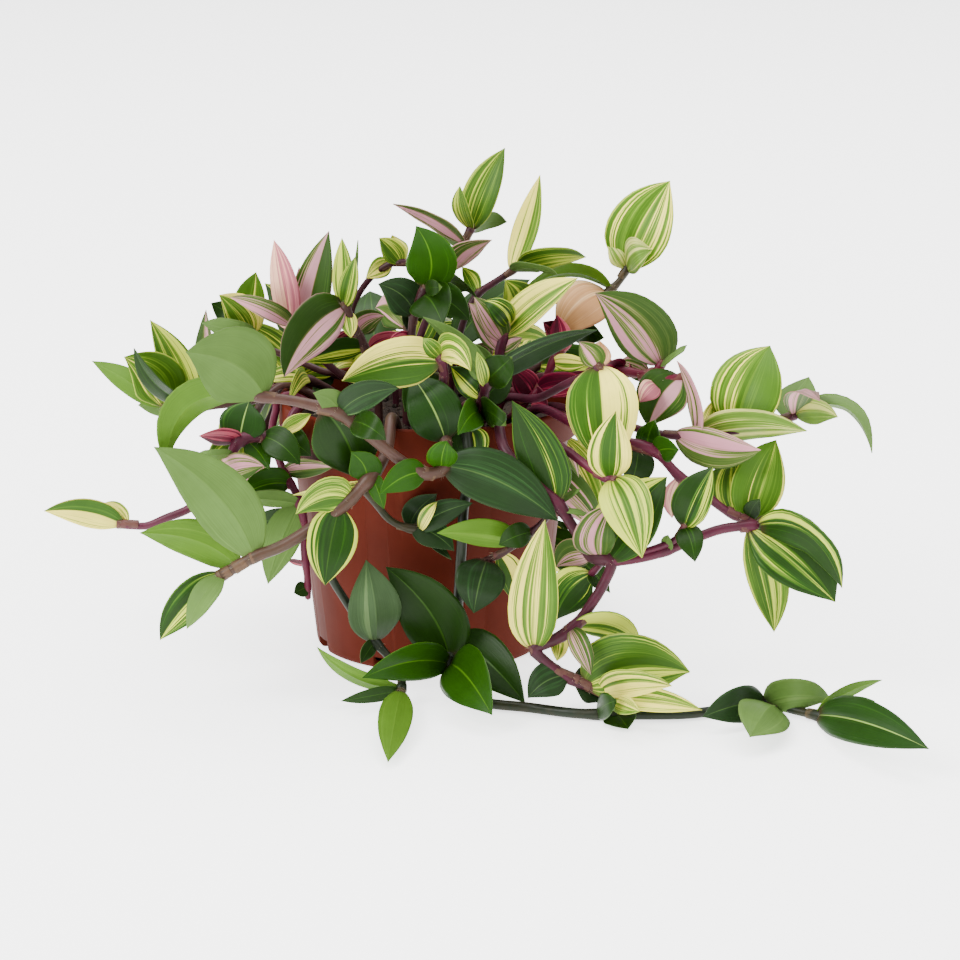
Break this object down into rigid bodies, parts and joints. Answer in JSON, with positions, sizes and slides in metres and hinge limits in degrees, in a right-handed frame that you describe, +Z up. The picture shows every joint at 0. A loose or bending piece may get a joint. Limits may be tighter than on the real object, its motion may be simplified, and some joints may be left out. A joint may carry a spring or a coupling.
{
  "type": "potted trailing house plant",
  "caption": "Trailing variegated house plant with striped leaves, rooted in soil in a round tapered nursery pot.",
  "frame": {"origin": "centre of the pot's foot, on the surface it stands on", "axes": "+Z up along the pot's axis, +X to the viewer's right, -Y towards the viewer, so the plant's front faces -Y"},
  "size_m": [0.3245, 0.2811, 0.1993],
  "materials": {
    "pot": "thin injection-moulded plastic, faint sheen",
    "soil": "dark loose potting soil",
    "leafy_stem": "smooth, slightly glossy leaves on purple-brown stems"
  },
  "bodies": {
    "root": {"pot": "pot", "soil": "soil", "stem_back_1": "leafy_stem", "stem_back_2": "leafy_stem", "stem_back_3": "leafy_stem", "stem_back_4": "leafy_stem", "stem_back_5": "leafy_stem", "stem_back_6": "leafy_stem", "stem_back_7": "leafy_stem", "stem_back_8": "leafy_stem", "stem_big_stripe": "leafy_stem", "stem_bow": "leafy_stem", "stem_cream_arm": "leafy_stem", "stem_cream_star": "leafy_stem", "stem_crimson": "leafy_stem", "stem_crown": "leafy_stem", "stem_dark_pink": "leafy_stem", "stem_fan_arm": "leafy_stem", "stem_floor_trail": "leafy_stem", "stem_green_crown": "leafy_stem", "stem_green_pink": "leafy_stem", "stem_grey_star": "leafy_stem", "stem_half_cream": "leafy_stem", "stem_knot": "leafy_stem", "stem_left_arm": "leafy_stem", "stem_left_back": "leafy_stem", "stem_left_hang": "leafy_stem", "stem_left_up": "leafy_stem", "stem_lilac_arm": "leafy_stem", "stem_long_left": "leafy_stem", "stem_low_left": "leafy_stem", "stem_pink_pair": "leafy_stem", "stem_right_high": "leafy_stem", "stem_right_mid": "leafy_stem", "stem_striped_mid": "leafy_stem"}
  },
  "joints": []
}
